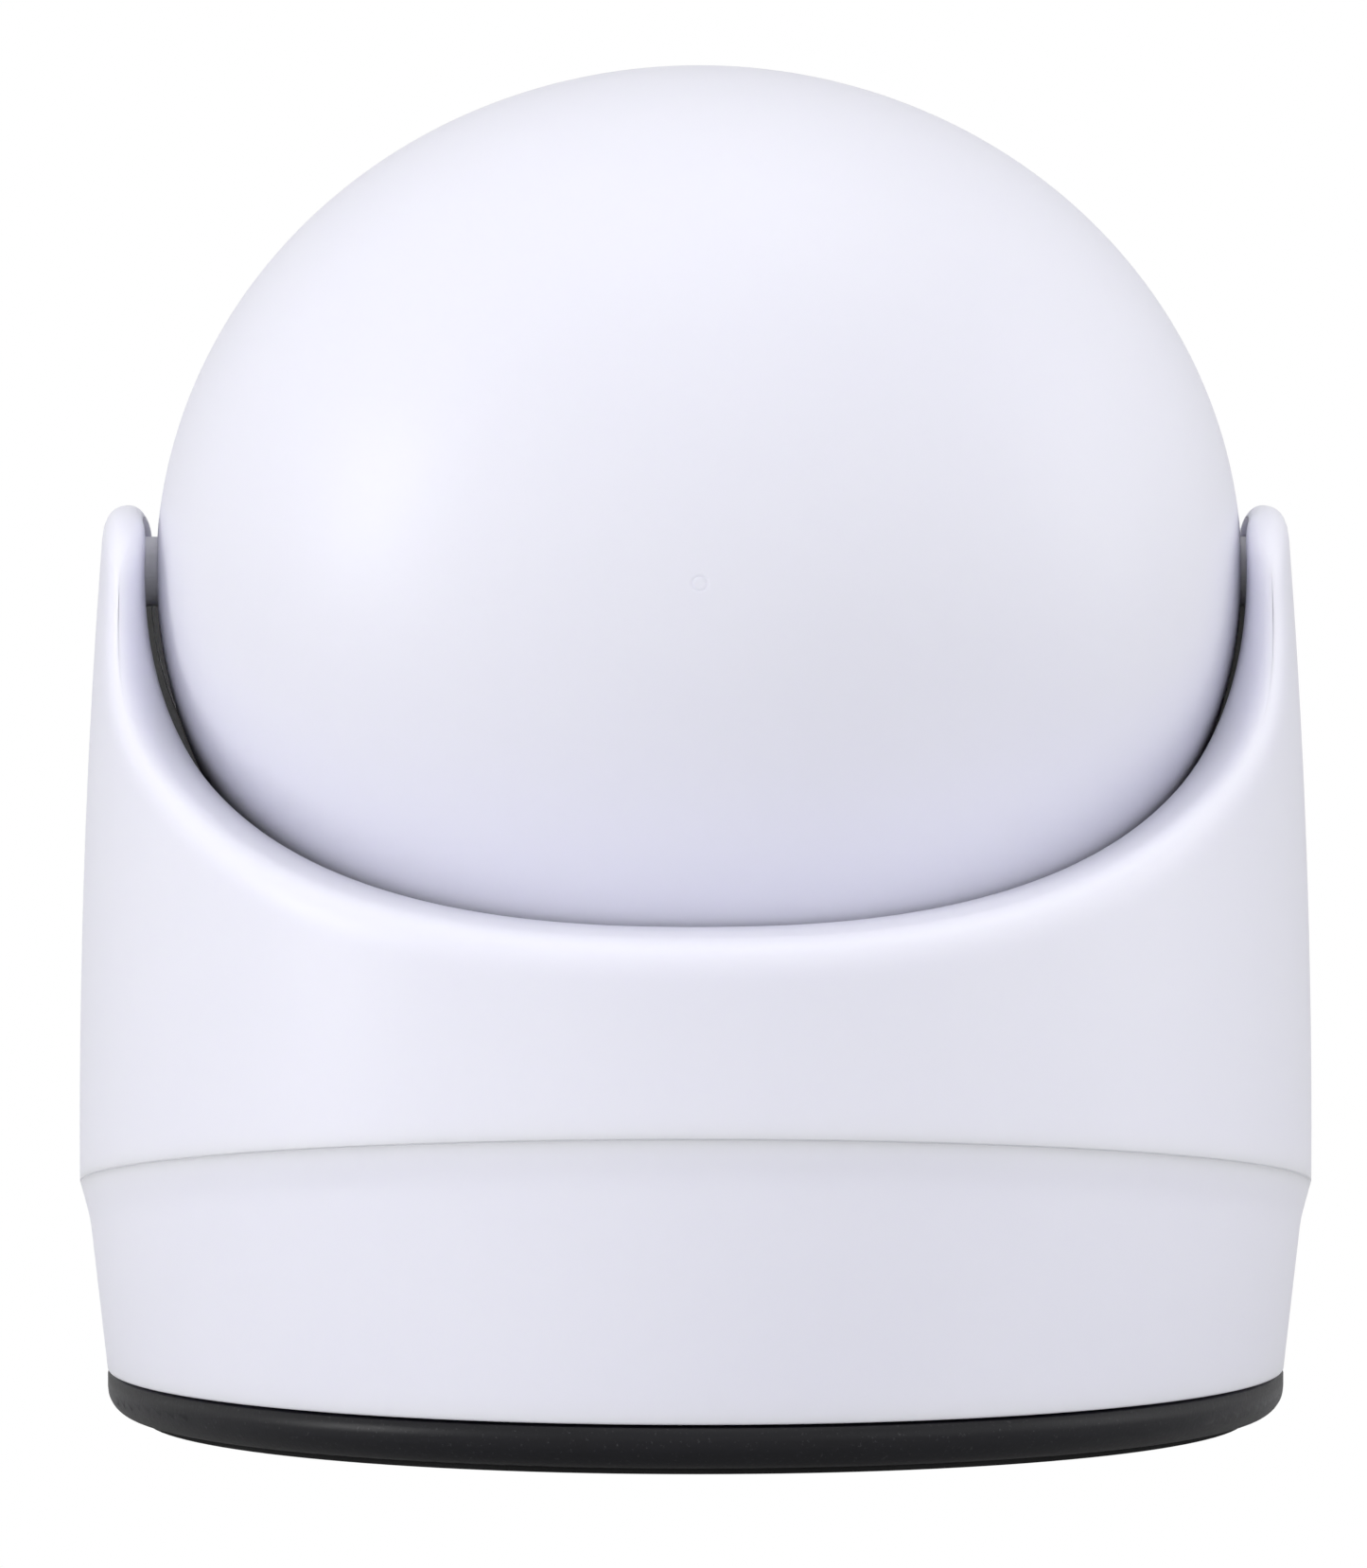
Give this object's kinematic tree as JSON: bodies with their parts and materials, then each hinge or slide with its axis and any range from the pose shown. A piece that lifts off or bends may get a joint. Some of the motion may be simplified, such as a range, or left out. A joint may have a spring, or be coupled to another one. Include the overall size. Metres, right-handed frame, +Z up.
{
  "type": "security camera",
  "caption": "Indoor pan and tilt security camera: a ball-shaped camera head turns in a notched round drum that turns on a low foot.",
  "frame": {"origin": "centre of the foot's underside, on the surface the camera stands on", "axes": "+Z up along the pan axis, +Y the way the lens looks, +X along the tilt axis"},
  "size_m": [0.1118, 0.1118, 0.1227],
  "materials": {
    "white_casing": "satin, very fine moulded grain",
    "black_grain": "fine spark-eroded grain",
    "black_gloss": "polished",
    "black_plain": "plain moulded",
    "rubber_pad": "matt",
    "brass_insert": "turned and tapped",
    "steel_bright": "drawn or rolled",
    "circuit_board": "solder mask",
    "chip_black": "moulded epoxy",
    "acetal_natural": "natural acetal",
    "lens_glass": "coated optical glass",
    "filter_glass": "infrared-cut filter",
    "lamp_clear": "clear epoxy lamp",
    "light_pipe": "frosted clear",
    "cone_paper": "pressed paper",
    "dust_cloth": "fine woven cloth",
    "grey_plastic": "plain moulded",
    "white_textured": "coarse eroded texture"
  },
  "bodies": {
    "foot": {"foot_dish": "black_grain", "base_plate": "black_plain", "pad_ring": "rubber_pad", "tripod_insert": "brass_insert", "power_board": "circuit_board", "power_socket": "steel_bright", "socket_tongue": "black_plain", "foot_screws": "steel_bright", "pan_gear": "acetal_natural", "retaining_clip": "steel_bright", "thrust_washer": "acetal_natural"},
    "drum": {"board_chips": "chip_black", "board_connectors": "grey_plastic", "cradle_liner": "black_grain", "drum_floor": "black_plain", "drum_screws": "steel_bright", "drum_shell": "white_casing", "drum_skirt": "white_casing", "grille_mesh": "dust_cloth", "main_board": "circuit_board", "pan_bracket": "steel_bright", "pan_bush": "acetal_natural", "pan_motor": "steel_bright", "pivot_boss_left": "white_textured", "pivot_boss_right": "white_textured", "speaker_cone": "cone_paper", "speaker_frame": "grey_plastic", "speaker_magnet": "steel_bright", "tilt_gear": "acetal_natural", "wifi_antenna": "circuit_board"},
    "head": {"head_rear_shell": "white_casing", "head_front_shell": "white_casing", "face_plate": "black_gloss", "lens_bezel": "black_gloss", "lens_barrel": "black_plain", "lens_front": "lens_glass", "lens_inner": "lens_glass", "filter_housing": "black_plain", "sensor_board": "circuit_board", "image_sensor": "chip_black", "infrared_board": "circuit_board", "infrared_lamps": "lamp_clear", "light_sensor": "chip_black", "status_lamp": "light_pipe", "microphone": "steel_bright", "head_chassis": "grey_plastic", "tilt_motor": "steel_bright", "head_screws": "steel_bright", "card_socket": "steel_bright", "reset_switch": "black_plain", "pivot_bush_left": "acetal_natural", "pivot_bush_right": "acetal_natural"},
    "pan_drive": {"pan_pinion": "acetal_natural", "pan_shaft": "steel_bright"},
    "tilt_drive": {"tilt_pinion": "acetal_natural", "tilt_shaft": "steel_bright"},
    "filter_slide": {"filter_slide": "filter_glass"},
    "memory_card": {"memory_card": "black_plain"},
    "reset_button": {"reset_button": "grey_plastic"}
  },
  "joints": [
    {"name": "pan", "type": "hinge", "parent": "foot", "child": "drum", "pos_m": [0, 0, 0.01], "axis": [0, 0, 1], "range_deg": [-175, 175]},
    {"name": "tilt", "type": "hinge", "parent": "drum", "child": "head", "pos_m": [0, 0, 0.0769], "axis": [1, 0, 0], "range_deg": [-25, 90]},
    {"name": "pan_pinion_spin", "type": "hinge", "parent": "drum", "child": "pan_drive", "pos_m": [0.02805, 0, 0.016], "axis": [0, 0, 1], "range_deg": [-702, 702]},
    {"name": "tilt_pinion_spin", "type": "hinge", "parent": "head", "child": "tilt_drive", "pos_m": [-0.04, -0.01925, 0.0769], "axis": [1, 0, 0], "range_deg": [-76, 271]},
    {"name": "filter_shift", "type": "slide", "parent": "head", "child": "filter_slide", "axis": [1, 0, 0], "range_m": [0, 0.0062]},
    {"name": "card_slide", "type": "slide", "parent": "head", "child": "memory_card", "axis": [0, 1, 0], "range_m": [0, 0.014]},
    {"name": "reset_press", "type": "slide", "parent": "head", "child": "reset_button", "axis": [0, -1, 0], "range_m": [0, 0.0008], "stiffness_N_per_m": 600}
  ],
  "couplings": [
    {"joint": "pan_pinion_spin", "follows": "pan", "ratio": 4},
    {"joint": "tilt_pinion_spin", "follows": "tilt", "ratio": 3}
  ]
}
